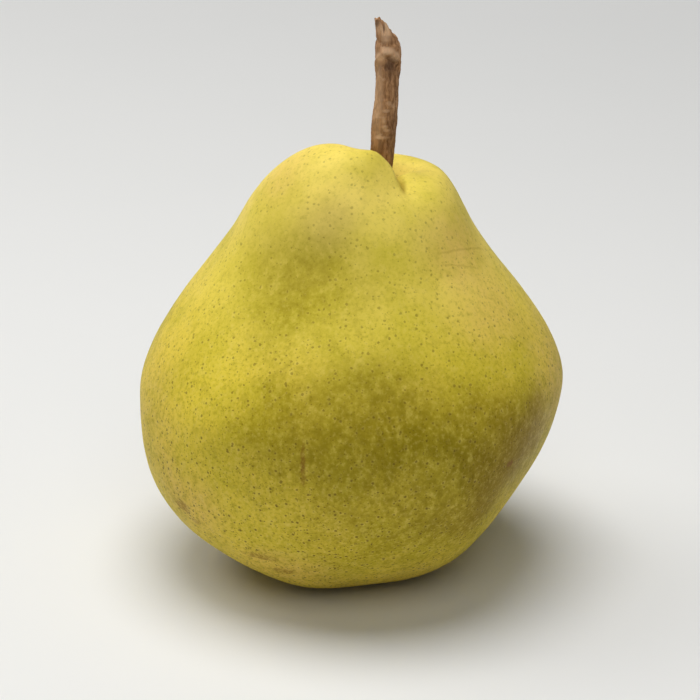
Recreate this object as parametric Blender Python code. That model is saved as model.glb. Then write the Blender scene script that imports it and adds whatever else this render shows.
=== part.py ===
"""An upright pear: the fruit, its woody stem, and the dried flower in the basin underneath.

Sizes are in metres and angles in degrees. The pear stands on z = 0 with its front towards -Y.
Azimuths turn from +X towards +Y, so the front is at 270.
"""

import math

import bmesh
import bpy
from mathutils import Vector
from mathutils.geometry import interpolate_bezier

# Outline of the fruit, from the stem down to the flat ring that it rests on
RIM_HEIGHT = 0.0856          # rim of the stem cavity at the back and on the right
RIM_RADIUS = 0.0085
NECK_RADIUS = 0.0238
NECK_DROP = 0.0100           # from the rim down to the neck
NECK_HEIGHT = RIM_HEIGHT - NECK_DROP
NECK_SLOPE = 66.0            # steepness of the side at the neck
BELLY_RADIUS = 0.0436
BELLY_HEIGHT = 0.0394
REST_OUTER_RADIUS = 0.0130
REST_INNER_RADIUS = 0.0100

# Reach of the outline's curve handles: the longer, the fuller the curve there
CAVITY_REACH = 0.0030
RIM_REACH = 0.0040
NECK_REACH = 0.0100
BELLY_REACH_UP = 0.0120
BELLY_REACH_DOWN = 0.0250
REST_REACH = 0.0085
BASIN_MOUTH_REACH = 0.0022
BASIN_WALL_REACH = 0.0045

# High shoulder: the rim rises on the front left and breaks off in a fold at the front
SHOULDER_RISE = 0.0074
SHOULDER_START = 110.0       # azimuth where the rise begins
SHOULDER_PEAK = 218.0
FOLD_START = 258.0           # azimuth where the fold begins to break off
FOLD_END = 300.0
FOLD_OPENING = 25.0          # how much wider the fold is at the neck, to each side

# Stem and the cavity that it grows from
STEM_OFFSET = Vector((0.0061, 0.0010))   # from the fruit's middle line
STEM_LENGTH = 0.0362         # from the cavity's floor to the broken tip
STEM_FOOT_RADIUS = 0.0021
STEM_SWELL_RADIUS = 0.0025   # thickening above the foot
STEM_WAIST_RADIUS = 0.0022
COLLAR_RADIUS = 0.0026       # bud scar near the tip
COLLAR_DROP = 0.0082         # from the tip down to the collar
TIP_RADIUS = 0.0013
TIP_SLANT = 0.0012           # the broken end is this much higher on one side
STEM_BEND = 0.0011           # how far the stem bows to the side
CAVITY_DEPTH = 0.0046        # below the rim
SEAT_DEPTH = 0.0040          # socket in the flesh for the stem's foot
SEAT_CLEARANCE = 0.0003

# Calyx basin underneath, with five sepals round the dried stamens
BASIN_DEPTH = 0.0080
BASIN_FLOOR_RADIUS = 0.0056
SEPAL_COUNT = 5
SEPAL_WIDTH = 0.0036
SEPAL_THICKNESS = 0.0005
SEPAL_TIP_WIDTH = 0.0007
SEPAL_FLARE = 16.0           # lean away from the middle
SEPAL_CUP = 0.0004           # how far the middle stands out from the edges
STAMEN_COUNT = 9
STAMEN_LENGTH = 0.0030
STAMEN_DISC_HEIGHT = 0.0010
STAMEN_BAND = 0.55           # share of the disc's radius that the filaments grow from
STAMEN_SPACING = 0.0007
STAMEN_TAPER = 0.5
CALYX_GAP = 0.0003           # between dried pieces and the fruit or each other
FLOOR_GAP = 0.0015           # between the calyx and the table

# Ribs round the base
RIB_COUNT = 5
RIB_RISE = 0.0009
RIB_AZIMUTH = 246.0
RIB_TOP = 0.0300             # height at which the ribs have faded

# Hollows and swellings of the side: azimuth, height, spread, rise (below zero for a hollow)
LUMPS = (
    (251.0, NECK_HEIGHT - 0.0071, 0.0078, -0.0027),
    (262.0, NECK_HEIGHT - 0.0156, 0.0085, 0.0008),
    (185.0, NECK_HEIGHT - 0.0096, 0.0080, -0.0008),
    (178.0, NECK_HEIGHT + 0.0054, 0.0060, -0.0008),
    (282.0, BELLY_HEIGHT + 0.0106, 0.0090, -0.0009),
    (2.0, BELLY_HEIGHT + 0.0096, 0.0100, 0.0009),
    (334.0, BELLY_HEIGHT - 0.0174, 0.0120, -0.0032),
    (204.0, BELLY_HEIGHT - 0.0244, 0.0140, 0.0036),
)

# Mesh density
SIDES = 64
CAVITY_STEPS = 6
SHOULDER_STEPS = 10
SIDE_STEPS = 12
UNDERSIDE_STEPS = 12
BASIN_STEPS = 7
STEM_SIDES = 16
STEM_STEPS = 24
SEPAL_STEPS = 6

# Stages of the outline, for the shapes that fade along it
WALL_STAGE = 1.0             # cavity floor, where the wall begins
RIM_STAGE = 2.0
CREST_STAGE = 2.3            # crest of the high shoulder, just outside the rim
NECK_STAGE = 3.0
UNDERSIDE_STAGE = 4.0
UNDERSIDE_FADE_STAGE = 4.7   # from here down the lumps fade, so that the resting ring stays flat
REST_STAGE = 5.0
BASIN_STAGE = 6.0
END_STAGE = 7.0

RIGHT = Vector((1.0, 0.0))
UP = Vector((0.0, 1.0))


def clear_scene():
    for item in list(bpy.data.objects):
        bpy.data.objects.remove(item, do_unlink=True)


def make_material(name, colour, roughness):
    material = bpy.data.materials.new(name)
    material.use_nodes = True
    shader = material.node_tree.nodes["Principled BSDF"]
    shader.inputs["Base Color"].default_value = (*colour, 1.0)
    shader.inputs["Roughness"].default_value = roughness
    shader.inputs["Metallic"].default_value = 0.0
    return material


def add_object(name, bm, material):
    """Make an object of a bmesh, with its faces pointing out and its round stretches smooth."""
    bmesh.ops.recalc_face_normals(bm, faces=bm.faces)
    mesh = bpy.data.meshes.new(name)
    bm.to_mesh(mesh)
    bm.free()
    mesh.shade_smooth()
    mesh.set_sharp_from_angle(angle=math.radians(40))
    mesh.materials.append(material)
    item = bpy.data.objects.new(name, mesh)
    bpy.context.collection.objects.link(item)
    return item


def smooth_step(value, start, end):
    """0 up to start, 1 from end on, and an even S between."""
    share = min(max((value - start) / (end - start), 0.0), 1.0)
    return share * share * (3.0 - 2.0 * share)


def turn_between(azimuth, other):
    """The signed angle from one azimuth to another, the short way round."""
    return (azimuth - other + 180.0) % 360.0 - 180.0


def cavity_floor():
    return RIM_HEIGHT - CAVITY_DEPTH


def outline_stretches():
    """The curved stretches of the outline: four curve points each, how many steps, and the first stage."""
    slope = math.radians(NECK_SLOPE)
    down_neck = Vector((math.cos(slope), -math.sin(slope)))
    seat_mouth = Vector((STEM_FOOT_RADIUS + SEAT_CLEARANCE, cavity_floor()))
    rim = Vector((RIM_RADIUS, RIM_HEIGHT))
    neck = Vector((NECK_RADIUS, NECK_HEIGHT))
    belly = Vector((BELLY_RADIUS, BELLY_HEIGHT))
    rest_outer = Vector((REST_OUTER_RADIUS, 0.0))
    rest_inner = Vector((REST_INNER_RADIUS, 0.0))
    basin_edge = Vector((BASIN_FLOOR_RADIUS, BASIN_DEPTH))
    return (
        (seat_mouth, seat_mouth + RIGHT * CAVITY_REACH, rim - RIGHT * CAVITY_REACH, rim, CAVITY_STEPS,
         WALL_STAGE),
        (rim, rim + RIGHT * RIM_REACH, neck - down_neck * NECK_REACH, neck, SHOULDER_STEPS, RIM_STAGE),
        (neck, neck + down_neck * NECK_REACH, belly + UP * BELLY_REACH_UP, belly, SIDE_STEPS, NECK_STAGE),
        (belly, belly - UP * BELLY_REACH_DOWN, rest_outer + RIGHT * REST_REACH, rest_outer, UNDERSIDE_STEPS,
         UNDERSIDE_STAGE),
        (rest_inner, rest_inner - RIGHT * BASIN_MOUTH_REACH, basin_edge - UP * BASIN_WALL_REACH, basin_edge,
         BASIN_STEPS, BASIN_STAGE),
    )


def outline():
    """The fruit's outline as (radius, height, stage), from the stem's seat round to the basin's middle."""
    seat_floor = cavity_floor() - SEAT_DEPTH
    points = [(0.0, seat_floor, 0.0), (STEM_FOOT_RADIUS + SEAT_CLEARANCE, seat_floor, 0.0)]
    for start, start_handle, end_handle, end, steps, stage in outline_stretches():
        curve = interpolate_bezier(start, start_handle, end_handle, end, steps + 1)
        for step, point in enumerate(curve):
            if step < steps or stage >= UNDERSIDE_STAGE:
                points.append((point.x, point.y, stage + step / steps))
    points.append((0.0, BASIN_DEPTH, END_STAGE))
    return points


def shoulder_rise(azimuth, stage):
    """How far the high shoulder lifts the rim; away from the rim its fold opens into a soft slope."""
    azimuth = azimuth % 360.0
    weight = smooth_step(stage, WALL_STAGE, CREST_STAGE) - smooth_step(stage, CREST_STAGE, NECK_STAGE)
    opening = FOLD_OPENING * smooth_step(stage, CREST_STAGE, NECK_STAGE)
    rising = smooth_step(azimuth, SHOULDER_START, SHOULDER_PEAK)
    breaking = smooth_step(azimuth, FOLD_START - opening, FOLD_END + opening)
    return SHOULDER_RISE * weight * (rising - breaking)


def rib_rise(azimuth, height, stage):
    """The ribs round the base, which fade up the side and into the basin."""
    fade = (1.0 - smooth_step(height, 0.0, RIB_TOP)) * (1.0 - smooth_step(stage, BASIN_STAGE, END_STAGE))
    return RIB_RISE * fade * math.cos(math.radians(RIB_COUNT * (azimuth - RIB_AZIMUTH)))


def lump_rise(azimuth, radius, height, stage):
    """The hollows and swellings of the side, which leave the cavity and the resting ring alone."""
    total = 0.0
    for lump_azimuth, lump_height, spread, rise in LUMPS:
        across = math.radians(turn_between(azimuth, lump_azimuth)) * radius
        along = height - lump_height
        total += rise * math.exp(-(across * across + along * along) / (2.0 * spread * spread))
    fade_in = smooth_step(stage, RIM_STAGE, NECK_STAGE)
    fade_out = 1.0 - smooth_step(stage, UNDERSIDE_FADE_STAGE, REST_STAGE)
    return total * fade_in * fade_out


def shape_vertex(vert, stage):
    """Move one vertex of the turned outline to its place on the uneven fruit."""
    radius = math.hypot(vert.co.x, vert.co.y)
    if radius > 0.0:
        azimuth = math.degrees(math.atan2(vert.co.y, vert.co.x))
        rise = rib_rise(azimuth, vert.co.z, stage) + lump_rise(azimuth, radius, vert.co.z, stage)
        vert.co.x *= 1.0 + rise / radius
        vert.co.y *= 1.0 + rise / radius
        vert.co.z += shoulder_rise(azimuth, stage)
    shift = STEM_OFFSET * (1.0 - smooth_step(stage, RIM_STAGE, NECK_STAGE))
    vert.co.x += shift.x
    vert.co.y += shift.y


def make_fruit(material):
    """Turn the outline round the middle line, then give it its shoulder, ribs, hollows and swellings."""
    bm = bmesh.new()
    stage_of = bm.verts.layers.float.new("stage")
    profile = []
    for radius, height, stage in outline():
        vert = bm.verts.new((radius, 0.0, height))
        vert[stage_of] = stage
        profile.append(vert)
    edges = [bm.edges.new(pair) for pair in zip(profile, profile[1:])]
    bmesh.ops.spin(bm, geom=profile + edges, axis=(0, 0, 1), angle=math.tau, steps=SIDES, use_merge=True)
    bmesh.ops.remove_doubles(bm, verts=bm.verts, dist=1e-6)
    for vert in bm.verts:
        shape_vertex(vert, vert[stage_of])
    return add_object("fruit_body", bm, material)


def stem_stations():
    """(height above the cavity's floor, share of the bend, radius) from the foot to the tip."""
    collar = STEM_LENGTH - COLLAR_DROP
    return (
        (SEAT_CLEARANCE - SEAT_DEPTH, 0.0, STEM_FOOT_RADIUS),
        (collar * 0.20, 0.0, STEM_FOOT_RADIUS),
        (collar * 0.46, 0.35, STEM_SWELL_RADIUS),
        (collar * 0.80, 1.0, STEM_WAIST_RADIUS),
        (collar, 1.0, COLLAR_RADIUS),
        (collar + COLLAR_DROP * 0.35, 0.9, COLLAR_RADIUS),
        (STEM_LENGTH, 0.0, TIP_RADIUS),
    )


def stem_at(height):
    """The stem's sideways bow and radius at a height above the cavity's floor."""
    stations = stem_stations()
    for low, high in zip(stations, stations[1:]):
        if height <= high[0] + 1e-9:
            share = smooth_step(height, low[0], high[0])
            return STEM_BEND * (low[1] + (high[1] - low[1]) * share), low[2] + (high[2] - low[2]) * share
    return 0.0, TIP_RADIUS


def make_ring(bm, centre, radius, sides):
    """A horizontal ring of vertices."""
    ring = []
    for side in range(sides):
        turn = math.tau * side / sides
        ring.append(bm.verts.new(centre + Vector((radius * math.cos(turn), radius * math.sin(turn), 0.0))))
    return ring


def bridge(bm, rings):
    """Join each ring to the next and close both ends."""
    for low, high in zip(rings, rings[1:]):
        for index in range(len(low)):
            after = (index + 1) % len(low)
            bm.faces.new((low[index], low[after], high[after], high[index]))
    bm.faces.new(rings[0])
    bm.faces.new(rings[-1])


def make_stem(material):
    bm = bmesh.new()
    start = SEAT_CLEARANCE - SEAT_DEPTH
    rings = []
    for step in range(STEM_STEPS + 1):
        height = start + (STEM_LENGTH - start) * step / STEM_STEPS
        bow, radius = stem_at(height)
        centre = Vector((STEM_OFFSET.x + bow, STEM_OFFSET.y, cavity_floor() + height))
        rings.append(make_ring(bm, centre, radius, STEM_SIDES))
    middle = STEM_OFFSET.x
    for vert in rings[-1]:
        vert.co.z -= TIP_SLANT * 0.5 * (1.0 + (vert.co.x - middle) / TIP_RADIUS)
    bridge(bm, rings)
    return add_object("stem", bm, material)


def sepal_root_radius():
    """Where the outer face of a sepal leaves the basin's floor."""
    return BASIN_FLOOR_RADIUS - CALYX_GAP - SEPAL_CUP


def make_sepal(number, material):
    """A dry pointed leaf that stands down from the basin's floor and leans outwards."""
    bm = bmesh.new()
    drop = BASIN_DEPTH - CALYX_GAP - FLOOR_GAP
    turn = math.tau * number / SEPAL_COUNT + math.radians(RIB_AZIMUTH)
    outward = Vector((math.cos(turn), math.sin(turn), 0.0))
    sideways = Vector((-math.sin(turn), math.cos(turn), 0.0))
    sections = []
    for step in range(SEPAL_STEPS + 1):
        share = step / SEPAL_STEPS
        half = (SEPAL_WIDTH + (SEPAL_TIP_WIDTH - SEPAL_WIDTH) * share * share) / 2.0
        lean = math.tan(math.radians(SEPAL_FLARE)) * drop * share * share
        face = sepal_root_radius() + lean
        place = Vector((0.0, 0.0, BASIN_DEPTH - CALYX_GAP - drop * share))
        back = face - SEPAL_THICKNESS
        bulge = SEPAL_CUP * (1.0 - share)
        outer = ((-half, face), (0.0, face + bulge), (half, face))
        inner = ((half, back), (0.0, back + bulge), (-half, back))
        corners = [place + sideways * side + outward * reach for side, reach in outer + inner]
        sections.append([bm.verts.new(corner) for corner in corners])
    bridge(bm, sections)
    return add_object(f"sepal_{number + 1}", bm, material)


def make_stamens(material):
    """A small disc on the basin's floor, with a ring of short dry filaments drawn out of it."""
    bm = bmesh.new()
    root = sepal_root_radius() - SEPAL_THICKNESS
    disc_radius = root * math.cos(math.pi / SEPAL_COUNT) - CALYX_GAP
    top = BASIN_DEPTH - CALYX_GAP
    rings = []
    for height in (top, top - STAMEN_DISC_HEIGHT):
        rings.append(make_ring(bm, Vector((0.0, 0.0, height)), disc_radius, STAMEN_COUNT))
    bridge(bm, rings)
    bmesh.ops.recalc_face_normals(bm, faces=bm.faces)
    under = min(bm.faces, key=lambda face: face.calc_center_median().z)
    band = bmesh.ops.inset_region(bm, faces=[under], thickness=disc_radius * STAMEN_BAND)["faces"]
    bmesh.ops.inset_individual(bm, faces=band, thickness=STAMEN_SPACING / 2.0)
    drawn = bmesh.ops.extrude_discrete_faces(bm, faces=band)["faces"]
    for face in drawn:
        middle = face.calc_center_median()
        for vert in face.verts:
            vert.co = middle + (vert.co - middle) * STAMEN_TAPER
            vert.co.z -= STAMEN_LENGTH
    return add_object("dried_stamens", bm, material)


def main():
    clear_scene()
    skin = make_material("pear_skin", (0.52, 0.45, 0.10), 0.45)
    wood = make_material("stem_wood", (0.22, 0.12, 0.06), 0.85)
    dry = make_material("dried_calyx", (0.10, 0.06, 0.03), 0.90)
    make_fruit(skin)
    make_stem(wood)
    for number in range(SEPAL_COUNT):
        make_sepal(number, dry)
    make_stamens(dry)


main()
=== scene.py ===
"""The looks of the pear: its skin, stem and dried calyx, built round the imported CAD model."""

import math

import bmesh
import bpy
import numpy as np
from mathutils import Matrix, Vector, noise


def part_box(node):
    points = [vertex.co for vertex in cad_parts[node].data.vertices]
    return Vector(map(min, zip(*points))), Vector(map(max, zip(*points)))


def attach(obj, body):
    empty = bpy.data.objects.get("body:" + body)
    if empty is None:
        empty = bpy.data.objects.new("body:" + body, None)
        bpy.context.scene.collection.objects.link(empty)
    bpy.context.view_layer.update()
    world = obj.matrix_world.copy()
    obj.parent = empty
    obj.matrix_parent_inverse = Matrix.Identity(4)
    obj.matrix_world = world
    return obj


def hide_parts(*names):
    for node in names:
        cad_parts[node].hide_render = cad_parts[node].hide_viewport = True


MM = 0.001

# Camera: the direction and distance that the pear is seen from, and where it looks
VIEW_ELEVATION = 22.0
VIEW_DISTANCE = 525 * MM
AIM = Vector((0.0, 0.0, 40 * MM))
LOOK_OFFSET = (-0.4 * MM, 6.2 * MM)      # right and up, from the aim
FIELD_OF_VIEW = 15.8
SENSOR_WIDTH = 36.0

# Lamps: name, place in metres, power in watts, colour
LAMPS = (
    ("overhead", (-0.06, 0.02, 0.90), 5.8, (1.0, 0.995, 0.98)),
    ("side", (-0.55, 0.25, 0.70), 2.3, (1.0, 0.985, 0.95)),
    ("front", (0.05, -0.65, 0.75), 1.7, (1.0, 0.995, 0.98)),
)
LAMP_WIDTH = 0.60
SKY_COLOUR = (0.95, 0.97, 1.0, 1.0)
SKY_STRENGTH = 0.12
FLOOR_HALF_WIDTH = 4.0

# Copies of the CAD nodes: corners closer than this are one, and triangles meeting flatter than this join
MERGE_DISTANCE = 1e-6
JOIN_ANGLE = math.radians(60)

# Skin mesh
SKIN_VOXEL = 0.62 * MM
SEAT_MARGIN = 0.42 * MM
SEAT_REACH = 3.5 * MM
LOWEST = 0.02 * MM
SKIN_UNEVENNESS = (             # rise in mm, size of its hills in mm, shift of the noise
    (0.30, 20.0, 3.0),
    (0.12, 8.0, 11.0),
    (0.035, 3.0, 23.0),
)

# Fold that runs forwards from the stem, seen from above
FOLD_X = 8.2 * MM
FOLD_SWING = 2.5 * MM
FOLD_SWING_LENGTH = 1.6 * MM
FOLD_LEAN = 0.12
FOLD_BACK = -3.8 * MM
FOLD_FRONT = -14.5 * MM
FOLD_BACK_FADE = (-1.0 * MM, 1.5 * MM)
FOLD_FRONT_FADE = (FOLD_FRONT, FOLD_FRONT + 4.5 * MM)
FOLD_HEIGHT_FADE = (78 * MM, 82 * MM)
FOLD_PULL = 1.3 * MM            # how far the fold's line is pulled towards -x
FOLD_PULL_WIDTHS = (2.2 * MM, 3.0 * MM)  # on the shoulder's side of the line, and beyond it
LIP_RISE = 0.9 * MM             # the shoulder's edge, beside the fold
LIP_OFFSET = 2.7 * MM
LIP_WIDTH = 1.7 * MM
CREASE_DEPTH = 0.4 * MM
CREASE_WIDTH = 0.8 * MM
FILL_PLACE = (10.6 * MM, -2.6 * MM)      # a low mound beside the stem, at the fold's back end
FILL_RISE = 1.7 * MM
FILL_WIDTH = 2.6 * MM

# Puckers of the calyx basin: how many go round, rise in mm; and where they fade, inwards, outwards and up
BASIN_FOLDS = (
    (5.0, 0.42),
    (13.0, 0.24),
)
BASIN_INNER_FADE = (3 * MM, 7 * MM)
BASIN_OUTER_FADE = (17 * MM, 8 * MM)
BASIN_TOP_FADE = (12 * MM, 8 * MM)
BASIN_WANDER = 0.5              # in radians

# Stem: (height, middle's x, radius) in mm from the foot to the tip, and the mesh's fineness
STEM_STATIONS = (
    (77.3, 6.10, 2.10),
    (86.6, 6.10, 2.15),
    (91.0, 6.20, 2.50),
    (94.5, 6.45, 2.52),
    (99.0, 6.80, 2.38),
    (103.4, 7.05, 2.32),
    (106.5, 7.15, 2.40),
    (109.5, 7.15, 2.55),
    (111.5, 7.10, 2.45),
    (113.5, 6.85, 2.10),
    (115.2, 6.40, 1.80),
    (116.5, 6.10, 1.60),
)
STEM_MIDDLE_Y = 1.0 * MM
STEM_GRAIN_RADIUS = 2.3 * MM    # the bark's grain is taken from a plain cylinder of this radius
STEM_SIDES = 96
STEM_STEPS = 230
FRONT_AZIMUTH = 268.0           # the side of the stem that its knob is on
KNOB_HEIGHT = 110.2 * MM
KNOB_ARCH = 1.7 * MM
KNOB_SPAN = (1.9, 1.0)          # radians from its middle, where it starts and where it is full
KNOB_RISE = 0.42 * MM
KNOB_WIDTH = 0.75 * MM
GROOVE_DEPTH = 0.30 * MM        # all along under the knob
GROOVE_DROP = 1.9 * MM
GROOVE_WIDTH = 0.9 * MM
HOLLOW_DEPTH = 0.42 * MM        # under the knob, on one side of its middle
HOLLOW_DROP = 2.3 * MM
HOLLOW_WIDTH = 1.3 * MM
HOLLOW_TURN = 0.35
HOLLOW_SPAN = 0.42
WAIST_DEPTH = 0.20 * MM         # a waist above the knob
WAIST_LIFT = 2.1 * MM
WAIST_SLANT = 0.5 * MM
WAIST_WIDTH = 0.45 * MM
BARK_RIDGES = (                 # height in mm, azimuth, span in radians, rise in mm
    (92.6, 262.0, 0.55, 0.10),
    (95.1, 280.0, 0.45, 0.14),
    (96.9, 268.0, 0.50, 0.16),
    (98.9, 285.0, 0.35, 0.13),
    (100.4, 262.0, 0.45, 0.14),
    (102.6, 275.0, 0.30, 0.10),
    (94.2, 60.0, 0.60, 0.12),
    (98.4, 110.0, 0.50, 0.13),
    (104.0, 150.0, 0.40, 0.10),
    (107.2, 40.0, 0.55, 0.12),
)
RIDGE_SLANT = 0.25 * MM
RIDGE_WIDTH = 0.24 * MM
BARK_GRAIN_RISE = 0.13 * MM
BARK_LUMP_RISE = 0.20 * MM
BARK_PIT_RISE = 0.05 * MM
TIP_SPLITS = (                  # azimuth, width in radians, depth in mm
    (228.0, 0.20, 0.85),
    (262.0, 0.16, 0.75),
    (20.0, 0.22, 0.60),
    (120.0, 0.25, 0.70),
)
TIP_LENGTH = 4.5 * MM
TIP_LOW_TURN = 20.0             # the azimuth that the broken end falls towards
TIP_FALL = 2.2 * MM
TIP_RAGGED = 0.45 * MM
TIP_SLANT = (-0.35, 1.0)        # cosines of the angle from the low side, where the fall starts and is full
END_SHARES = (0.93, 0.82, 0.66, 0.48, 0.30, 0.14)    # rings over the broken end, as shares of its rim
END_GRAIN_RISE = 0.22 * MM
PITH_DEPTH = 0.55 * MM

# Sepals: how far each movement goes at the tip. A sine or cosine of its number makes each one different
SEPAL_WIDENING = 0.22
SEPAL_HALF_WIDTH = 1.4 * MM
SEPAL_ROLL = 0.34 * MM
SEPAL_CURL = 1.1 * MM
SEPAL_TWIST = 0.45
SEPAL_WAVE = 0.26 * MM
SEPAL_FIBRE = 0.05 * MM
SEPAL_LEAN = 0.5 * MM

# Dried stamens: the cushion's profile as (share of its radius, drop in mm), and the filaments
DISC_PROFILE = (
    (0.3, 0.0),
    (0.8, 0.02),
    (1.0, 0.15),
    (1.03, 0.4),
    (0.98, 0.62),
    (0.88, 0.80),
    (0.74, 0.90),
    (0.58, 0.86),
    (0.42, 0.68),
    (0.26, 0.55),
    (0.12, 0.52),
)
DISC_RADIUS = 2.3 * MM
DISC_SIDES = 72
THREAD_COUNT = 22
THREAD_SIDES = 12
THREAD_STEPS = 18
THREAD_TOP = 0.6 * MM           # under the cushion's top, and the gap left under the longest filament
THREAD_INNER = 0.85 * MM        # the filaments stand between this radius and the next one more
THREAD_SPREAD = 1.35 * MM
GOLDEN_TURN = math.radians(137.5)


# ---------------------------------------------------------------- mesh helpers

def new_object(name, mesh):
    item = bpy.data.objects.new(name, mesh)
    bpy.context.collection.objects.link(item)
    return item


def evaluated_mesh(item):
    """A new mesh with the object's modifiers applied."""
    graph = bpy.context.evaluated_depsgraph_get()
    return bpy.data.meshes.new_from_object(item.evaluated_get(graph), depsgraph=graph)


def apply_modifiers(item):
    mesh = evaluated_mesh(item)
    item.modifiers.clear()
    item.data = mesh


def quad_copy(node, name, drop=None):
    """A copy of a CAD node with its triangles joined to quads, without the faces that drop() picks."""
    bm = bmesh.new()
    bm.from_mesh(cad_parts[node].data)
    bmesh.ops.remove_doubles(bm, verts=bm.verts, dist=MERGE_DISTANCE)
    if drop:
        dropped = [face for face in bm.faces if drop(face.calc_center_median())]
        bmesh.ops.delete(bm, geom=dropped, context="FACES")
        bmesh.ops.holes_fill(bm, edges=[edge for edge in bm.edges if edge.is_boundary], sides=0)
    bmesh.ops.join_triangles(
        bm, faces=bm.faces, angle_face_threshold=JOIN_ANGLE, angle_shape_threshold=JOIN_ANGLE)
    bmesh.ops.recalc_face_normals(bm, faces=bm.faces)
    mesh = bpy.data.meshes.new(name)
    bm.to_mesh(mesh)
    bm.free()
    return new_object(name, mesh)


def subdivide(item, levels):
    modifier = item.modifiers.new("subdivide", "SUBSURF")
    modifier.levels = levels
    modifier.render_levels = levels


def read_points(mesh):
    points = np.empty(len(mesh.vertices) * 3)
    mesh.vertices.foreach_get("co", points)
    return points.reshape(-1, 3)


def read_normals(mesh):
    normals = np.empty(len(mesh.vertices) * 3)
    mesh.vertex_normals.foreach_get("vector", normals)
    return normals.reshape(-1, 3)


def write_points(mesh, points):
    mesh.vertices.foreach_set("co", points.ravel())
    mesh.update()


def noise_at(points, size, shift):
    """Smooth noise from about -1 to 1 whose hills are about one size apart."""
    scaled = points / size + shift
    return np.array([noise.noise(Vector(point)) for point in scaled])


def ramp(values, start, end):
    """0 up to start, 1 from end on, and an even S between; start may be above end."""
    share = np.clip((values - start) / (end - start), 0.0, 1.0)
    return share * share * (3.0 - 2.0 * share)


def smooth_curve(places, knots, values):
    """The values at the knots, joined by a curve without corners."""
    slopes = np.gradient(values, knots)
    index = np.clip(np.searchsorted(knots, places, side="right") - 1, 0, len(knots) - 2)
    span = knots[index + 1] - knots[index]
    share = (places - knots[index]) / span
    start = (1.0 + 2.0 * share) * (1.0 - share) ** 2 * values[index]
    start_slope = share * (1.0 - share) ** 2 * span * slopes[index]
    end = share ** 2 * (3.0 - 2.0 * share) * values[index + 1]
    end_slope = share ** 2 * (share - 1.0) * span * slopes[index + 1]
    return start + start_slope + end + end_slope


# ---------------------------------------------------------------- material helpers

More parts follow.
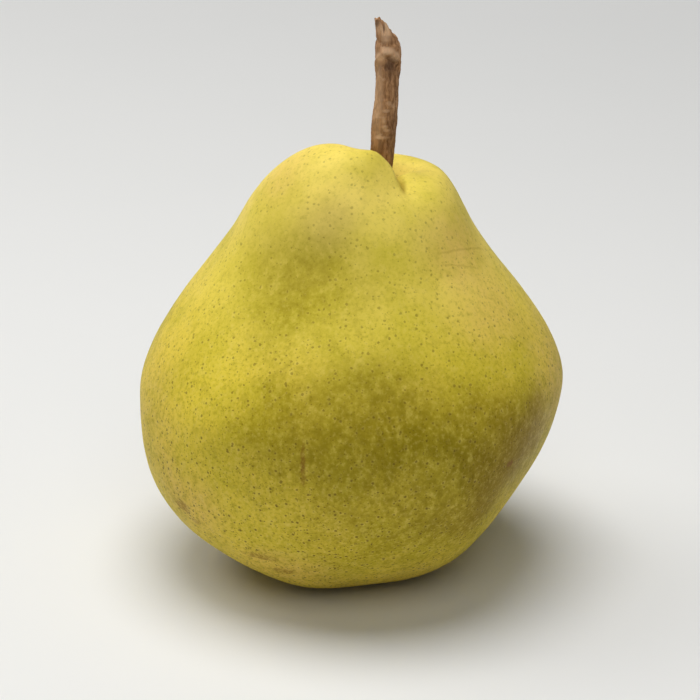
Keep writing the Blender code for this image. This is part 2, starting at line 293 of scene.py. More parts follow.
class Graph:
    """Short calls for building one material's nodes."""

    def __init__(self, name):
        self.material = bpy.data.materials.new(name)
        self.material.use_nodes = True
        self.tree = self.material.node_tree
        self.shader = self.tree.nodes["Principled BSDF"]
        self.place = self.tree.nodes.new("ShaderNodeTexCoord").outputs["Object"]

    def wire(self, socket, value):
        if isinstance(value, bpy.types.NodeSocket):
            self.tree.links.new(value, socket)
        elif socket.type == "RGBA" and len(value) == 3:
            socket.default_value = (*value, 1.0)
        else:
            socket.default_value = value

    def math(self, operation, first, second=0.0, third=0.0):
        node = self.tree.nodes.new("ShaderNodeMath")
        node.operation = operation
        for socket, value in zip(node.inputs, (first, second, third)):
            self.wire(socket, value)
        return node.outputs[0]

    def times(self, first, second):
        return self.math("MULTIPLY", first, second)

    def centred(self, value):
        """A value from 0 to 1, moved to -0.5 to 0.5."""
        return self.math("SUBTRACT", value, 0.5)

    def scaled(self, scale, shift):
        """The place on the object, in metres, times a scale for each axis."""
        node = self.tree.nodes.new("ShaderNodeMapping")
        self.wire(node.inputs["Vector"], self.place)
        node.inputs["Location"].default_value = shift
        node.inputs["Scale"].default_value = scale
        return node.outputs[0]

    def noise(self, size, detail=2.0, roughness=0.5, distortion=0.0, stretch=(1.0, 1.0, 1.0), shift=0.0):
        """Noise from 0 to 1 whose spots are about one size across, stretched along the axes."""
        node = self.tree.nodes.new("ShaderNodeTexNoise")
        scale = tuple(1.0 / (size * factor) for factor in stretch)
        self.wire(node.inputs["Vector"], self.scaled(scale, (shift, shift * 0.7, -shift)))
        node.inputs["Scale"].default_value = 1.0
        node.inputs["Detail"].default_value = detail
        node.inputs["Roughness"].default_value = roughness
        node.inputs["Distortion"].default_value = distortion
        return node.outputs["Fac"]

    def dots(self, spacing, shift=0.0):
        """Distance to the nearest of a cloud of points, in metres, and a random number for each point."""
        node = self.tree.nodes.new("ShaderNodeTexVoronoi")
        self.wire(node.inputs["Vector"], self.scaled((1.0 / spacing,) * 3, (shift,) * 3))
        node.inputs["Scale"].default_value = 1.0
        distance = self.times(node.outputs["Distance"], spacing)
        pick = self.tree.nodes.new("ShaderNodeSeparateColor")
        self.wire(pick.inputs[0], node.outputs["Color"])
        return distance, pick.outputs[0]

    def step(self, value, start, end, low=0.0, high=1.0):
        """low up to start, high from end on, and smooth between."""
        node = self.tree.nodes.new("ShaderNodeMapRange")
        node.interpolation_type = "SMOOTHSTEP"
        for index, item in enumerate((value, start, end, low, high)):
            self.wire(node.inputs[index], item)
        return node.outputs[0]

    def mix(self, share, first, second):
        node = self.tree.nodes.new("ShaderNodeMix")
        node.data_type = "RGBA"
        node.clamp_factor = True
        self.wire(node.inputs[0], share)
        self.wire(node.inputs[6], first)
        self.wire(node.inputs[7], second)
        return node.outputs[2]

    def blob(self, centre, reach, soft=0.65, wobble=None):
        """1 near a point in mm and 0 outside an ellipsoid with the given half lengths in mm."""
        node = self.tree.nodes.new("ShaderNodeMapping")
        node.vector_type = "TEXTURE"
        self.wire(node.inputs["Vector"], self.place)
        node.inputs["Location"].default_value = [value * MM for value in centre]
        node.inputs["Scale"].default_value = [value * MM for value in reach]
        length = self.tree.nodes.new("ShaderNodeVectorMath")
        length.operation = "LENGTH"
        self.wire(length.inputs[0], node.outputs[0])
        distance = length.outputs["Value"]
        if wobble is not None:
            distance = self.math("ADD", distance, wobble)
        return self.step(distance, 1.0 - soft, 1.0 + soft, 1.0, 0.0)

    def blobs(self, places, soft=0.65, wobble=None):
        """Several blobs, each (centre, half lengths, strength), which add up softly to at most 1."""
        bare = None
        for centre, reach, strength in places:
            patch = self.blob(centre, reach, soft, wobble)
            keep = self.math("MULTIPLY_ADD", patch, -strength, 1.0)
            bare = keep if bare is None else self.times(bare, keep)
        return self.math("SUBTRACT", 1.0, bare)

    def stroke(self, centre, across, width, reach, wobble):
        """A thin line of a width in mm through a point, in the plane that across is square to."""
        node = self.tree.nodes.new("ShaderNodeVectorMath")
        node.operation = "SUBTRACT"
        self.wire(node.inputs[0], self.place)
        node.inputs[1].default_value = [value * MM for value in centre]
        side = self.tree.nodes.new("ShaderNodeVectorMath")
        side.operation = "DOT_PRODUCT"
        self.wire(side.inputs[0], node.outputs[0])
        side.inputs[1].default_value = Vector(across).normalized()
        offset = self.math("ABSOLUTE", self.math("ADD", side.outputs["Value"], wobble))
        line = self.step(offset, 0.0, width * MM, 1.0, 0.0)
        return self.times(line, self.blob(centre, (reach,) * 3, 0.3))

    def bump(self, height, strength, distance):
        node = self.tree.nodes.new("ShaderNodeBump")
        node.inputs["Strength"].default_value = strength
        node.inputs["Distance"].default_value = distance
        self.wire(node.inputs["Height"], height)
        return node.outputs[0]

    def finish(self, colour, roughness, normal, **constants):
        self.wire(self.shader.inputs["Base Color"], colour)
        self.wire(self.shader.inputs["Roughness"], roughness)
        self.wire(self.shader.inputs["Normal"], normal)
        for name, value in constants.items():
            self.shader.inputs[name.replace("_", " ")].default_value = value
        return self.material


# ---------------------------------------------------------------- materials

# Skin colours, linear
# The top's pale yellow: partly the skin's own colour, partly painted highlight from the light above
PALE_YELLOW_AND_HIGHLIGHT = (0.900, 0.705, 0.150)
YELLOW = (0.800, 0.620, 0.060)
LIGHT_GREEN = (0.700, 0.600, 0.040)
GREEN = (0.520, 0.440, 0.016)
OLIVE = (0.230, 0.170, 0.002)
TAN = (0.740, 0.460, 0.150)
MAUVE = (0.500, 0.350, 0.150)
BROWN = (0.240, 0.132, 0.002)
RUSSET = (0.420, 0.240, 0.080)
BASIN_FLOOR_DARK = (0.110, 0.058, 0.022)
DOT = (0.110, 0.060, 0.003)
PALE = (0.800, 0.640, 0.150)
SCAR = (0.230, 0.095, 0.012)

# Patches of the skin, some of them painted shade in part or in whole: centre in mm, half lengths in mm,
# strength
GREEN_PATCHES = (
    ((-11, -23, 69), (14, 13, 12), 0.55),
    ((-23, -12, 70), (8, 10, 10), 0.35),
    ((6, -22, 78), (7, 7, 6), 0.30),
    ((14, -10, 82), (6, 8, 5), 0.30),
    ((2, -30, 62), (16, 10, 6), 0.32),
    ((-28, -30, 50), (9, 9, 8), 0.25),
    ((10, 26, 66), (14, 12, 12), 0.40),
    ((-26, 20, 62), (10, 12, 12), 0.35),
)
OLIVE_PATCHES_AND_SHADE = (
    # The neck's dent under the shoulder's hump: partly olive skin, partly painted shade
    ((-10.5, -23, 69.5), (12, 12, 10), 0.54),
    ((-11, -34, 56), (9, 9, 5), 0.20),
    ((4, -37, 56), (9, 9, 4), 0.25),
    ((-1, -42, 46), (17, 12, 9), 0.62),
    ((8, -42, 47), (7, 8, 9), 0.35),
    ((6, -44, 33), (19, 14, 11), 0.54),
    ((-18, -40, 42), (11, 10, 8), 0.26),
    ((15, -38, 48), (9, 9, 5), 0.36),
    ((25, -34, 41), (9, 9, 7), 0.28),
    ((24, -36, 32), (14, 12, 13), 0.62),
    ((16, -33, 19), (13, 10, 8), 0.24),
    ((-4, -36, 16), (12, 10, 7), 0.20),
    # The lower right flank, with the brown patch at (34, -26, 34): partly olive skin, partly painted shade
    ((31, -29, 34), (10, 10, 12), 0.64),
    ((38, -18, 32), (8, 10, 10), 0.45),
    ((-12, 42, 38), (22, 14, 12), 0.58),
    ((26, 34, 44), (14, 12, 12), 0.52),
    ((-31, 28, 30), (12, 12, 12), 0.45),
    ((8, 36, 18), (14, 12, 9), 0.40),
    ((-8, 23, 70), (9, 8, 8), 0.50),
    ((16, 20, 74), (8, 8, 7), 0.38),
    ((41, 10, 28), (10, 14, 12), 0.48),
    ((-40, 14, 48), (10, 12, 9), 0.40),
    ((-30, -4, 12), (12, 14, 8), 0.35),
)
TAN_PATCHES = (
    ((21, -13, 73), (8, 8, 7), 0.50),
    ((28, -18, 62), (10, 10, 6), 0.35),
    ((43, -8, 47), (8, 14, 12), 0.45),
    ((-40, -16, 40), (8, 12, 14), 0.28),
    ((-14, -8, 87), (6, 6, 5), 0.35),
    ((-33, -26, 24), (9, 9, 8), 0.45),
    ((-16, -32, 12), (11, 8, 5), 0.40),
    ((14, 40, 22), (16, 12, 9), 0.45),
    ((-24, 32, 60), (12, 10, 8), 0.40),
    ((30, 22, 62), (9, 10, 8), 0.35),
    ((0, 0, 5), (24, 24, 6), 0.45),
)
MAUVE_PATCHES = (
    ((-4, -19, 81), (5, 6, 4.5), 0.24),
    ((38, -21, 36), (5, 7, 6), 0.20),
    ((12, 24, 78), (5, 5, 4), 0.40),
)
BROWN_PATCHES_AND_SHADE = (
    # These two darken the lower right flank: partly the skin's own brown, partly painted shade
    ((34, -26, 34), (13, 12, 13), 0.55),
    ((26, -33, 22), (8, 8, 6), 0.35),
    ((-35, 22, 24), (9, 10, 7), 0.35),
    # Darker round the stem's foot in its cavity: painted shade
    ((6.1, 1, 80.5), (4.5, 4.5, 3.0), 0.75),
    # These two: a dark line down the fold's crease, painted shade
    ((8.7, -5.5, 84.0), (1.0, 2.5, 2.2), 0.60),
    ((10.0, -9.5, 84.9), (0.7, 3.2, 1.3), 0.60),
)
RUSSET_PATCHES = (
    ((0, 0, 8), (6.5, 6.5, 5.5), 0.80),
    ((0, 0, 3), (11, 11, 6), 0.50),
    ((0, 0, 0), (16, 16, 3), 0.30),
)
BASIN_FLOOR_DARKENING = (
    ((0, 0, 9.0), (6.6, 6.6, 2.4), 0.80),
)
SCARS = (
    ((-9.4, -42.3, 39.2), (0.5, 3.0, 4.0), 0.72),
    ((-34.2, -25.3, 22.7), (1.6, 2.5, 1.5), 0.65),
    ((-31.5, -27.5, 19.5), (1.4, 2.5, 1.2), 0.50),
    ((-18.4, -31.7, 14.6), (3.2, 3.0, 0.9), 0.55),
    ((-14.0, -30.5, 10.8), (2.6, 3.0, 0.9), 0.60),
    ((31.5, -27.6, 33.0), (0.7, 1.5, 0.7), 0.90),
    ((-20.0, 38.5, 44.0), (0.9, 3.0, 3.4), 0.55),
    ((14.0, 40.0, 25.0), (2.4, 3.0, 0.9), 0.50),
    ((32.0, 29.0, 52.0), (0.8, 2.0, 0.8), 0.80),
)
# Lenticels: how far apart they stand, and the radius of the largest
LARGE_DOT_SPACING = 1.05 * MM
LARGE_DOT_RADIUS = 0.33 * MM
SMALL_DOT_SPACING = 0.66 * MM
SMALL_DOT_RADIUS = 0.20 * MM

# Heights between which the skin turns paler, partly its own colour and partly painted highlight from the
# light above, the mottling fades and the lenticels fade
PALE_AND_HIGHLIGHT_HEIGHTS = (48 * MM, 80 * MM)
MOTTLE_HEIGHTS = (20 * MM, 88 * MM)
DOT_HEIGHTS = (10 * MM, 88 * MM)

# Fine wrinkles: a point in mm, the direction across the line, width in mm, reach in mm
WRINKLES = (
    ((21.6, -11.5, 72.3), (0.31, -0.44, -0.84), 0.45, 8.0),
    ((20.5, -14.5, 69.8), (0.10, -0.50, -0.86), 0.35, 5.0),
    ((-17.0, 21.0, 68.0), (0.30, 0.30, -0.90), 0.40, 7.0),
)


class SkinFields:
    """The textures that the layers of the skin share."""

    def __init__(self, graph):
        split = graph.tree.nodes.new("ShaderNodeSeparateXYZ")
        graph.wire(split.inputs[0], graph.place)
        self.height = split.outputs[2]
        self.wobble = graph.centred(graph.noise(9 * MM, 3.0, 0.5))
        self.mottle = graph.noise(1.9 * MM, 3.0, 0.55, shift=4.0, stretch=(1.0, 1.0, 1.35))
        self.cloud = graph.noise(12 * MM, 3.0, 0.5, shift=9.0)
        self.grain = graph.noise(0.75 * MM, 5.0, 0.68, shift=6.0)
        self.rough = graph.centred(graph.noise(1.4 * MM, 4.0, 0.7, shift=1.0))
        self.russet = graph.blobs(RUSSET_PATCHES, 0.40, self.wobble)


def ground_layers(graph, fields):
    """Yellow that turns green in clouds and paler towards the top, with the larger patches on it; the paler
    top is partly painted highlight, and some olive and brown patches are painted shade, in part or in
    whole.
    """
    mottle, wobble = fields.mottle, fields.wobble
    # Paler towards the top: partly the skin's own colour, partly painted highlight from the light above
    colour = graph.mix(graph.step(fields.height, *PALE_AND_HIGHLIGHT_HEIGHTS), YELLOW, PALE_YELLOW_AND_HIGHLIGHT)
    colour = graph.mix(graph.step(fields.cloud, 0.38, 0.66, 0.05, 0.50), colour, GREEN)
    colour = graph.mix(graph.blobs(GREEN_PATCHES, 0.85, wobble), colour, LIGHT_GREEN)
    # Olive patches, partly painted shade in the neck's dent and on the lower right flank
    olive = graph.blobs(OLIVE_PATCHES_AND_SHADE, 0.90, wobble)
    olive = graph.times(olive, graph.step(mottle, 0.28, 0.66, 0.80, 1.10))
    colour = graph.mix(olive, colour, OLIVE)
    tan = graph.blobs(TAN_PATCHES, 0.75, wobble)
    tan = graph.times(tan, graph.step(mottle, 0.30, 0.62, 1.0, 0.65))
    colour = graph.mix(tan, colour, TAN)
    colour = graph.mix(graph.blobs(MAUVE_PATCHES, 0.70, wobble), colour, MAUVE)
    # Brown patches, with painted shade on the lower right flank, round the stem's foot and in the fold's
    # crease
    return graph.mix(graph.blobs(BROWN_PATCHES_AND_SHADE, 0.75, wobble), colour, BROWN)


def mottle_layers(graph, fields, colour):
    """Dark and light mottling at two sizes, most of it stronger low down."""
    mottle, grain = fields.mottle, fields.grain
    low_down = graph.step(fields.height, *MOTTLE_HEIGHTS, 1.0, 0.35)
    fleck = graph.times(graph.step(mottle, 0.50, 0.70), low_down)
    colour = graph.mix(graph.times(fleck, 0.26), colour, OLIVE)
    colour = graph.mix(graph.step(mottle, 0.46, 0.30, 0.0, 0.20), colour, PALE)
    speck = graph.times(graph.step(grain, 0.48, 0.72), low_down)
    colour = graph.mix(graph.times(speck, 0.60), colour, OLIVE)
    light = graph.times(graph.step(grain, 0.50, 0.32), low_down)
    return graph.mix(graph.times(light, 0.34), colour, PALE)


def russet_layers(graph, fields, colour):
    """The russet of the calyx basin, and the darker middle of its floor."""
    russet = graph.times(fields.russet, graph.step(fields.grain, 0.35, 0.62, 0.72, 1.0))
    colour = graph.mix(russet, colour, RUSSET)
    return graph.mix(graph.blobs(BASIN_FLOOR_DARKENING, 0.35, fields.wobble), colour, BASIN_FLOOR_DARK)


def dot_field(graph, spacing, widest, shift):
    """The uneven distance to the nearest of a cloud of dots, and a random number for each dot."""
    distance, pick = graph.dots(spacing, shift)
    uneven = graph.centred(graph.noise(widest * 1.2, 2.0, 0.6, shift=shift))
    return graph.math("MULTIPLY_ADD", uneven, widest * 1.1, distance), pick


def dot_spots(graph, distance, pick, widest):
    """Dots of random size up to a radius."""
    size = graph.math("MULTIPLY_ADD", graph.step(pick, 0.25, 1.0), widest * 0.75, widest * 0.15)
    return graph.step(distance, graph.times(size, 0.75), graph.times(size, 1.20), 1.0, 0.0)


def dot_rings(graph, distance, pick, widest):
    """Soft rings round the larger dots."""
    return graph.times(graph.step(distance, widest, widest * 2.4, 1.0, 0.0), graph.step(pick, 0.60, 0.85))


def lenticel_layers(graph, fields, colour):
    """Lenticels, fewer towards the top and lost in the russet; also where the large ones are."""
    low_down = graph.step(fields.height, *DOT_HEIGHTS, 1.0, 0.12)
    low_down = graph.times(low_down, graph.math("SUBTRACT", 1.0, fields.russet))
    distance, pick = dot_field(graph, LARGE_DOT_SPACING, LARGE_DOT_RADIUS, 0.0)
    large = dot_spots(graph, distance, pick, LARGE_DOT_RADIUS)
    rings = dot_rings(graph, distance, pick, LARGE_DOT_RADIUS)
    distance, pick = dot_field(graph, SMALL_DOT_SPACING, SMALL_DOT_RADIUS, 7.0)
    small = dot_spots(graph, distance, pick, SMALL_DOT_RADIUS)
    colour = graph.mix(graph.times(rings, graph.times(low_down, 0.16)), colour, PALE)
    colour = graph.mix(graph.times(small, graph.math("MULTIPLY_ADD", low_down, 0.58, 0.06)), colour, DOT)
    colour = graph.mix(graph.times(large, graph.math("MULTIPLY_ADD", low_down, 0.50, 0.25)), colour, DOT)
    return colour, large


def blemish_layers(graph, fields, colour):
    """Scars and the shoulder's wrinkles; also where they are."""
    scar = graph.blobs(SCARS, 0.45, graph.times(fields.rough, 2.4))
    colour = graph.mix(graph.times(scar, graph.step(fields.grain, 0.35, 0.60, 0.45, 1.0)), colour, SCAR)
    lines = None
    for centre, across, width, reach in WRINKLES:
        line = graph.stroke(centre, across, width, reach, graph.times(fields.rough, 1.2 * MM))
        lines = line if lines is None else graph.math("MAXIMUM", lines, line)
    return graph.mix(graph.times(lines, 0.22), colour, BROWN), scar, lines


def skin_material():
    graph = Graph("pear_skin_look")
    fields = SkinFields(graph)
    colour = ground_layers(graph, fields)
    colour = mottle_layers(graph, fields, colour)
    colour = russet_layers(graph, fields, colour)
    colour, large = lenticel_layers(graph, fields, colour)
    colour, scar, lines = blemish_layers(graph, fields, colour)

    relief = graph.noise(1.0 * MM, 3.0, 0.55, shift=2.0)
    for dent, depth in ((large, 0.7), (lines, 1.2), (scar, 0.5)):
        relief = graph.math("MULTIPLY_ADD", dent, -depth, relief)
    normal = graph.bump(relief, 0.45, 0.06 * MM)
    roughness = graph.step(fields.mottle, 0.2, 0.8, 0.46, 0.58)
    return graph.finish(colour, roughness, normal, Specular_IOR_Level=0.09)


# Stem wood colours, linear, and marks on it, some of them painted highlight and painted shade: centre in
# mm, half lengths in mm, strength
BARK_DARK = (0.205, 0.094, 0.036)
BARK = (0.490, 0.262, 0.120)
BARK_PALE = (0.790, 0.525, 0.320)
BARK_BLACK = (0.070, 0.030, 0.014)
PALE_MARKS_AND_HIGHLIGHTS = (
    ((6.0, -1.5, 92.8), (1.5, 1.2, 0.30), 0.40),
    ((6.5, -1.5, 94.9), (0.5, 1.2, 0.50), 0.50),
    ((6.9, -1.5, 94.3), (0.6, 1.2, 0.30), 0.50),
    ((6.3, -1.5, 96.4), (0.4, 1.2, 0.70), 0.50),
    ((6.8, -1.4, 98.3), (0.7, 1.2, 0.35), 0.45),
    ((7.3, -1.4, 99.9), (0.5, 1.2, 0.40), 0.35),
    # These three: the pale band along the knob's top, painted highlight
    ((5.6, -1.2, 109.2), (0.9, 1.6, 0.9), 0.45),
    ((7.0, -1.7, 110.6), (1.3, 1.6, 0.7), 0.60),
    ((8.6, -1.0, 109.3), (0.9, 1.6, 0.9), 0.50),
    ((6.7, -0.8, 114.4), (1.0, 1.2, 2.0), 0.60),
    ((5.3, -0.4, 115.0), (0.5, 1.2, 1.3), 0.45),
    # A pale band down the stem's left front, painted highlight on its lit side
    ((5.0, -0.4, 100.0), (1.2, 2.0, 9.0), 0.35),
    ((6.4, 3.3, 98.0), (1.2, 1.2, 0.40), 0.50),
    ((5.2, 3.0, 103.0), (1.0, 1.2, 0.35), 0.50),
)
DARK_MARKS_AND_SHADE = (
    # These two: dark under the knob's overhang, painted shade
    ((7.7, -1.2, 107.9), (1.4, 1.5, 1.4), 0.66),
    ((7.3, -1.2, 105.9), (0.9, 1.5, 1.5), 0.40),
    # Darker down the stem's lower right side, painted shade
    ((8.6, -0.6, 92.0), (1.6, 2.0, 6.0), 0.30),
    # Darker where the stem meets the fruit: painted shade
    ((6.1, 1.0, 80.0), (4.0, 4.0, 4.5), 0.60),
    ((5.0, -0.4, 115.9), (0.5, 1.2, 0.7), 0.60),
    ((6.3, -0.8, 114.9), (0.18, 1.0, 1.0), 0.55),
    ((6.9, -0.9, 113.2), (1.4, 1.0, 0.4), 0.30),
    ((6.0, 1.0, 116.6), (0.7, 0.7, 0.8), 0.60),
    # Darker on the stem's right side, painted shade
    ((8.9, 1.5, 103.0), (1.0, 2.0, 4.0), 0.35),
)


def stem_material():
    graph = Graph("stem_wood_look")
    grain = graph.noise(0.55 * MM, 4.0, 0.65, 0.5, stretch=(1.0, 1.0, 4.0))
    blotch = graph.noise(2.6 * MM, 4.0, 0.6, shift=3.0)
    wobble = graph.times(graph.centred(grain), 1.4)
    colour = graph.mix(graph.step(grain, 0.32, 0.66), BARK_DARK, BARK)
    colour = graph.mix(graph.step(blotch, 0.54, 0.70, 0.0, 0.75), colour, BARK_DARK)
    colour = graph.mix(graph.step(blotch, 0.44, 0.30, 0.0, 0.45), colour, BARK_PALE)
    # Pale marks, with painted highlight on the knob's top and down the stem's lit left side
    colour = graph.mix(graph.blobs(PALE_MARKS_AND_HIGHLIGHTS, 0.5, wobble), colour, BARK_PALE)
    # Dark marks, with painted shade under the knob, down the right side and where the stem meets the fruit
    colour = graph.mix(graph.blobs(DARK_MARKS_AND_SHADE, 0.6, wobble), colour, BARK_BLACK)
    normal = graph.bump(grain, 0.8, 0.20 * MM)
    return graph.finish(colour, graph.step(grain, 0.3, 0.7, 0.95, 0.72), normal, Specular_IOR_Level=0.3)


# Dried calyx colours, linear
CALYX_DARK = (0.085, 0.045, 0.022)
CALYX_BROWN = (0.380, 0.235, 0.120)
CALYX_PALE = (0.720, 0.580, 0.400)


def calyx_material():
    graph = Graph("dried_calyx_look")
    grain = graph.noise(0.60 * MM, 4.0, 0.65, 0.5, stretch=(1.0, 1.0, 2.5))
    fibre = graph.noise(0.20 * MM, 3.0, 0.7, 0.8, stretch=(1.0, 1.0, 5.0), shift=5.0)
    colour = graph.mix(graph.step(grain, 0.34, 0.62), CALYX_DARK, CALYX_BROWN)
    colour = graph.mix(graph.step(fibre, 0.50, 0.66, 0.0, 0.80), colour, CALYX_PALE)
    normal = graph.bump(fibre, 0.7, 0.12 * MM)
    return graph.finish(colour, graph.step(grain, 0.3, 0.7, 0.95, 0.8), normal, Specular_IOR_Level=0.25)


# Floor colours, linear, and its glow: half of it is reached this far from the pear
FLOOR_DARK = (0.800, 0.803, 0.795)
FLOOR_LIGHT = (0.815, 0.815, 0.810)
FLOOR_GLOW = (0.93, 0.94, 0.93)
FLOOR_GLOW_STRENGTH = 0.56
FLOOR_GLOW_REACH_MM = 800


def floor_material():
    """A pale table, which glows a little far from the pear as a lit studio sweep does."""
    graph = Graph("plain_floor_look")
    colour = graph.mix(graph.noise(60 * MM, 2.0), FLOOR_DARK, FLOOR_LIGHT)
    normal = graph.bump(graph.noise(0.8 * MM, 1.0), 0.05, 0.02 * MM)
    near = graph.blob((0, 0, 0), (FLOOR_GLOW_REACH_MM,) * 3, 0.75)
    away = graph.math("SUBTRACT", 1.0, near)
    graph.wire(graph.shader.inputs["Emission Color"], FLOOR_GLOW)
    graph.wire(graph.shader.inputs["Emission Strength"], graph.times(away, FLOOR_GLOW_STRENGTH))
    return graph.finish(colour, 0.55, normal, Specular_IOR_Level=0.2)


# ---------------------------------------------------------------- pieces

def swell(values, centre, width):
    """A smooth hump, 1 at the centre and fading over a width."""
    return np.exp(-((values - centre) / width) ** 2)


def angle_from(turn, azimuth):
    """Angles in radians, measured from an azimuth in degrees, between minus and plus half a turn."""
    return (turn - math.radians(azimuth) + math.pi) % (2.0 * math.pi) - math.pi


def dress(item, material):
    """Smooth shading, and one material."""
    item.data.shade_smooth()
    item.data.materials.clear()
    item.data.materials.append(material)


def sharpen_fold(points):
    """Steepen the shoulder where it meets the fold that runs forwards from the stem, in place."""
    x, y, z = points.T
    ahead = FOLD_BACK - y
    run = np.maximum(ahead, 0.0)
    line = FOLD_X + FOLD_SWING * (1.0 - np.exp(-run / FOLD_SWING_LENGTH)) + FOLD_LEAN * run
    high_up = ramp(z, *FOLD_HEIGHT_FADE)
    here = ramp(ahead, *FOLD_BACK_FADE) * ramp(y, *FOLD_FRONT_FADE) * high_up
    beside = line - x
    pull_width = np.where(beside > 0.0, *FOLD_PULL_WIDTHS)
    fill = swell(np.hypot(x - FILL_PLACE[0], y - FILL_PLACE[1]), 0.0, FILL_WIDTH)
    lip = LIP_RISE * swell(beside, LIP_OFFSET, LIP_WIDTH)
    crease = CREASE_DEPTH * swell(beside, 0.0, CREASE_WIDTH)
    points[:, 2] += FILL_RISE * fill * high_up
    points[:, 0] -= FOLD_PULL * here * swell(beside, 0.0, pull_width)
    points[:, 2] += here * (lip - crease)


def basin_folds(points):
    """The puckers that run out of the calyx basin, deepest at its mouth."""
    x, y, z = points.T
    beside = np.hypot(x, y)
    here = ramp(beside, *BASIN_INNER_FADE) * ramp(beside, *BASIN_OUTER_FADE) * ramp(z, *BASIN_TOP_FADE)
    turn = np.arctan2(y, x) + BASIN_WANDER * noise_at(points, 9 * MM, 41.0)
    return here * MM * sum(rise * np.cos(count * turn) for count, rise in BASIN_FOLDS)


def make_skin(material):
    """The CAD fruit, rounded and remeshed finely, with the unevenness that a real skin has."""
    foot, middle, radius = (value * MM for value in STEM_STATIONS[0])

    def in_seat(centre):
        beside = math.hypot(centre.x - middle, centre.y - STEM_MIDDLE_Y)
        return beside < radius + SEAT_MARGIN and abs(centre.z - foot) < SEAT_REACH

    guide = quad_copy("fruit_body", "skin_guide", in_seat)
    subdivide(guide, 2)
    apply_modifiers(guide)
    skin = new_object("pear_skin", guide.data.copy())
    remesh = skin.modifiers.new("even_mesh", "REMESH")
    remesh.mode = "VOXEL"
    remesh.voxel_size = SKIN_VOXEL
    wrap = skin.modifiers.new("back_to_guide", "SHRINKWRAP")
    wrap.target = guide
    wrap.wrap_method = "NEAREST_SURFACEPOINT"
    apply_modifiers(skin)
    bpy.data.objects.remove(guide, do_unlink=True)

    points = read_points(skin.data)
    normals = read_normals(skin.data)
    sharpen_fold(points)
    rise = np.zeros(len(points))
    for height, size, shift in SKIN_UNEVENNESS:
        rise += height * MM * noise_at(points, size * MM, shift)
    rise += basin_folds(points)
    points = points + normals * rise[:, None]
    points[:, 2] = np.maximum(points[:, 2], LOWEST)
    write_points(skin.data, points)
    dress(skin, material)
    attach(skin, "root")
    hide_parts("fruit_body")


def ring_of(sides):
    """The cosines and sines of evenly spaced directions, as points round the z axis."""
    angle = np.linspace(0.0, 2.0 * math.pi, sides, endpoint=False)
    return np.stack((np.cos(angle), np.sin(angle), np.zeros_like(angle)), -1)


def tube_mesh(name, rings):
    """A closed mesh through rings of points (ring by point by axis), with a point at each end."""
    count, sides = rings.shape[:2]
    points = [*rings.reshape(-1, 3), rings[0].mean(0), rings[-1].mean(0)]
    faces = []
    for row in range(count - 1):
        for side in range(sides):
            after = (side + 1) % sides
            low, high = row * sides, (row + 1) * sides
            faces.append((low + side, low + after, high + after, high + side))
    start, end = count * sides, count * sides + 1
    last = (count - 1) * sides
    for side in range(sides):
        after = (side + 1) % sides
        faces.append((start, after, side))
        faces.append((end, last + side, last + after))
    mesh = bpy.data.meshes.new(name)
    mesh.from_pydata([tuple(point) for point in points], [], faces)
    mesh.update()
    return mesh


def knob_relief(z, turn):
    """The bud-scar knob: an arch round the front, the hollow that it hangs over, and the waist above it."""
    front = angle_from(turn, FRONT_AZIMUTH)
    arch = KNOB_HEIGHT - KNOB_ARCH * front ** 2
    narrowest = KNOB_HEIGHT + WAIST_LIFT + WAIST_SLANT * np.sin(turn)
    knob = KNOB_RISE * swell(z, arch, KNOB_WIDTH)
    groove = GROOVE_DEPTH * swell(z, arch - GROOVE_DROP, GROOVE_WIDTH)
    beside = swell(front, HOLLOW_TURN, HOLLOW_SPAN)
    hollow = HOLLOW_DEPTH * beside * swell(z, arch - HOLLOW_DROP, HOLLOW_WIDTH)
    waist = WAIST_DEPTH * swell(z, narrowest, WAIST_WIDTH)
    return ramp(np.abs(front), *KNOB_SPAN) * (knob - groove) - hollow - waist


def ridge_relief(z, turn):
    """Cross-ridges of old bark, low on the front and round the back."""
    relief = np.zeros_like(z)
    for height, azimuth, span, rise in BARK_RIDGES:
        side = angle_from(turn, azimuth)
        above = z - height * MM - RIDGE_SLANT * np.sin(2.0 * side)
        relief += rise * MM * swell(side, 0.0, span) * swell(above, 0.0, RIDGE_WIDTH)
    return relief


def end_rings(rim):
    """Rings that step inwards from the rim over the broken end, down into the pith."""
    pith = rim.mean(0)
    rings = []
    for share in END_SHARES:
        ring = pith + (rim - pith) * share
        inwards = 1.0 - share
        grain = END_GRAIN_RISE * inwards * noise_at(ring, 0.5 * MM, 17.0)
        ring[:, 2] += grain - PITH_DEPTH * inwards ** 0.7
        rings.append(ring)
    return np.array(rings)


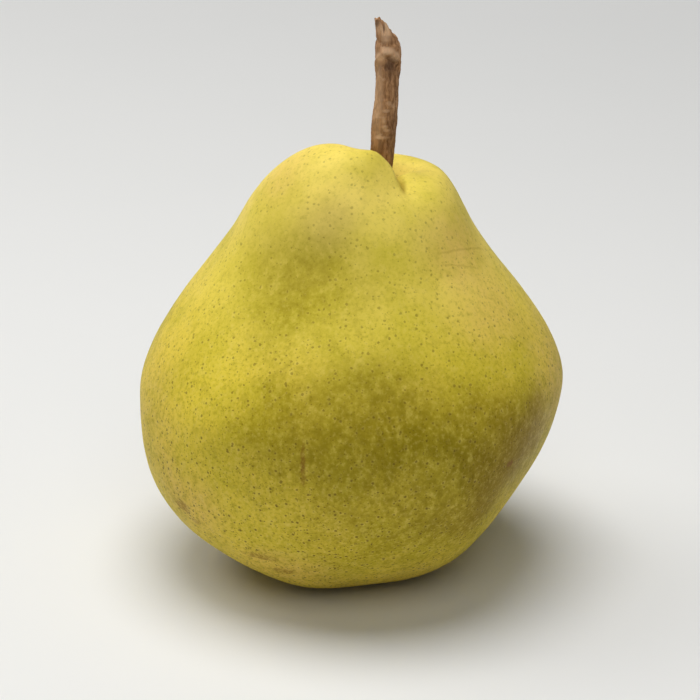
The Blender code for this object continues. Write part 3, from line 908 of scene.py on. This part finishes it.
def make_stem(material):
    """A woody stem: a ridged shaft, a bud-scar knob on its front and a split, broken tip."""
    heights, middles, radii = np.array(STEM_STATIONS).T * MM
    top = heights[-1]
    height = np.linspace(heights[0], top, STEM_STEPS)
    middle_x = smooth_curve(height, heights, middles)
    radius = smooth_curve(height, heights, radii)
    angle = np.linspace(0.0, 2.0 * math.pi, STEM_SIDES, endpoint=False)
    z, turn = np.meshgrid(height, angle, indexing="ij")
    place = np.stack((np.cos(turn) * STEM_GRAIN_RADIUS, np.sin(turn) * STEM_GRAIN_RADIUS, z), -1)
    place = place.reshape(-1, 3)

    def bark_noise(squash, size, shift):
        return noise_at(place * (1.0, 1.0, squash), size, shift).reshape(z.shape)

    long_grain = bark_noise(0.22, 0.75 * MM, 5.0)
    lumps = bark_noise(0.6, 1.9 * MM, 13.0)
    pits = bark_noise(0.8, 0.45 * MM, 31.0)
    reach = radius[:, None] + knob_relief(z, turn) + ridge_relief(z, turn)
    reach += BARK_GRAIN_RISE * long_grain + BARK_LUMP_RISE * lumps + BARK_PIT_RISE * pits

    # Tip: splits that open towards the end, and an end that is higher on one side
    near_tip = ramp(z, top - TIP_LENGTH, top)
    for azimuth, width, depth in TIP_SPLITS:
        side = angle_from(turn, azimuth) + 0.10 * lumps
        reach -= depth * MM * near_tip * swell(side, 0.0, width)
    slant = ramp(np.cos(turn - math.radians(TIP_LOW_TURN)), *TIP_SLANT)
    ragged = bark_noise(0.0, 0.8 * MM, 3.0)
    z = z - near_tip * (TIP_FALL * slant + TIP_RAGGED * ragged)

    x = middle_x[:, None] + np.cos(turn) * reach
    y = STEM_MIDDLE_Y + np.sin(turn) * reach
    rings = np.stack((x, y, z), -1)
    rings = np.concatenate((rings, end_rings(rings[-1])))
    stem = new_object("pear_stem", tube_mesh("pear_stem", rings))
    dress(stem, material)
    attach(stem, "root")
    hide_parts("stem")


def make_sepal(node, number, material):
    """The CAD sepal, finely divided, rolled along its edges, twisted and wrinkled as dry leaves are."""
    sepal = quad_copy(node, node + "_look")
    subdivide(sepal, 3)
    apply_modifiers(sepal)
    points = read_points(sepal.data)
    normals = read_normals(sepal.data)
    outwards = points.mean(0) * (1.0, 1.0, 0.0)
    outwards /= np.linalg.norm(outwards)
    sideways = np.array((-outwards[1], outwards[0], 0.0))
    across = points @ sideways
    down = ramp(points[:, 2], points[:, 2].max(), points[:, 2].min())
    fibre = SEPAL_FIBRE * noise_at(points * (1.0, 1.0, 0.22), 0.42 * MM, number * 5.0)
    wave = SEPAL_WAVE * noise_at(points, 1.8 * MM, number * 9.0)
    roll = SEPAL_ROLL * down * (across / SEPAL_HALF_WIDTH) ** 2 * (1.0 + 0.5 * math.sin(number * 2.1))
    curl = SEPAL_CURL * down ** 2.5 * (0.7 + 0.4 * math.cos(number * 1.9))
    twist = SEPAL_TWIST * across * down * math.sin(number * 2.7)
    lean = SEPAL_LEAN * down ** 2 * math.sin(number * 1.3)
    points = points + normals * fibre[:, None] + outwards * (wave + roll - curl + twist)[:, None]
    points += sideways * (SEPAL_WIDENING * across + lean)[:, None]
    write_points(sepal.data, points)
    dress(sepal, material)
    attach(sepal, "root")
    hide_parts(node)


def stamen_disc(top):
    """The crumpled cushion of the dried flower, hollow in its middle where the styles were."""
    rings = []
    for share, drop in DISC_PROFILE:
        ring = ring_of(DISC_SIDES) * (share * DISC_RADIUS)
        bumps = noise_at(ring + (0.0, 0.0, drop * MM), 0.7 * MM, 2.0)
        ring *= 1.0 + 0.10 * bumps[:, None]
        ring[:, 2] = top - drop * (1.0 + 0.25 * bumps) * MM
        rings.append(ring)
    return tube_mesh("disc", np.array(rings))


def stamen_thread(number, top, length):
    """One curved filament with a small withered head."""
    around = number * GOLDEN_TURN
    start = THREAD_INNER + THREAD_SPREAD * math.sqrt((number + 0.5) / THREAD_COUNT)
    section = ring_of(THREAD_SIDES) * (1.0, -1.0, 1.0)
    rings = []
    for share in np.linspace(0.0, 1.0, THREAD_STEPS):
        lean = 0.55 * share ** 2 * math.sin(number * 1.7) + 0.15 * math.sin(5.0 * share + number)
        bend = around + 0.55 * share * math.cos(number * 2.9)
        head = 0.16 * math.exp(-((share - 0.90) / 0.08) ** 2)
        thick = (0.15 - 0.05 * share + head) * MM * (0.35 if share == 1.0 else 1.0)
        reach = start + lean * MM
        height = top - THREAD_TOP - share * length
        rings.append(section * thick + (reach * math.cos(bend), reach * math.sin(bend), height))
    return tube_mesh("thread", np.array(rings))


def make_stamens(material):
    """The dried flower: a crumpled cushion with curved filaments that hang from it."""
    low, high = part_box("dried_stamens")
    longest = high.z - low.z - THREAD_TOP
    meshes = [stamen_disc(high.z)]
    for number in range(THREAD_COUNT):
        meshes.append(stamen_thread(number, high.z, longest * (0.78 + 0.20 * math.sin(number * 2.3))))
    bm = bmesh.new()
    for mesh in meshes:
        bm.from_mesh(mesh)
        bpy.data.meshes.remove(mesh)
    bmesh.ops.recalc_face_normals(bm, faces=bm.faces)
    mesh = bpy.data.meshes.new("dried_stamens_look")
    bm.to_mesh(mesh)
    bm.free()
    stamens = new_object("dried_stamens_look", mesh)
    dress(stamens, material)
    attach(stamens, "root")
    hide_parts("dried_stamens")


def make_floor(material):
    bm = bmesh.new()
    bmesh.ops.create_grid(bm, x_segments=8, y_segments=8, size=FLOOR_HALF_WIDTH)
    mesh = bpy.data.meshes.new("floor")
    bm.to_mesh(mesh)
    bm.free()
    floor = new_object("floor", mesh)
    mesh.materials.append(material)


# ---------------------------------------------------------------- camera and light

def point_at(item, target):
    item.rotation_euler = (target - item.location).to_track_quat("-Z", "Y").to_euler()


def make_camera():
    elevation = math.radians(VIEW_ELEVATION)
    back = Vector((0.0, -math.cos(elevation), math.sin(elevation)))
    up = Vector((0.0, math.sin(elevation), math.cos(elevation)))
    data = bpy.data.cameras.new("camera")
    camera = new_object("camera", data)
    camera.location = AIM + back * VIEW_DISTANCE
    point_at(camera, AIM + Vector((LOOK_OFFSET[0], 0.0, 0.0)) + up * LOOK_OFFSET[1])
    data.sensor_width = SENSOR_WIDTH
    data.lens = SENSOR_WIDTH / 2.0 / math.tan(math.radians(FIELD_OF_VIEW) / 2.0)
    bpy.context.scene.camera = camera


def make_lights():
    for name, place, power, colour in LAMPS:
        data = bpy.data.lights.new(name, "AREA")
        data.shape = "DISK"
        data.size = LAMP_WIDTH
        data.energy = power
        data.color = colour
        lamp = new_object(name, data)
        lamp.location = place
        point_at(lamp, AIM)
    world = bpy.data.worlds.new("studio")
    world.use_nodes = True
    background = world.node_tree.nodes["Background"]
    background.inputs["Color"].default_value = SKY_COLOUR
    background.inputs["Strength"].default_value = SKY_STRENGTH
    bpy.context.scene.world = world
    bpy.context.scene.view_settings.view_transform = "Standard"


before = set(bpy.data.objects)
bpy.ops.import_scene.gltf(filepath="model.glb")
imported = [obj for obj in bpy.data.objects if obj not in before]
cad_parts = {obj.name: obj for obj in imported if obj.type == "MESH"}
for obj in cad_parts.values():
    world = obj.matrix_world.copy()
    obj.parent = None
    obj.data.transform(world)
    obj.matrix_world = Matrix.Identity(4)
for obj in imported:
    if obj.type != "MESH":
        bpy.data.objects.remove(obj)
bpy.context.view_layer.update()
make_camera()
make_lights()
make_floor(floor_material())
make_skin(skin_material())
make_stem(stem_material())
dry = calyx_material()
for number in range(1, 6):
    make_sepal("sepal_%d" % number, number, dry)
make_stamens(dry)
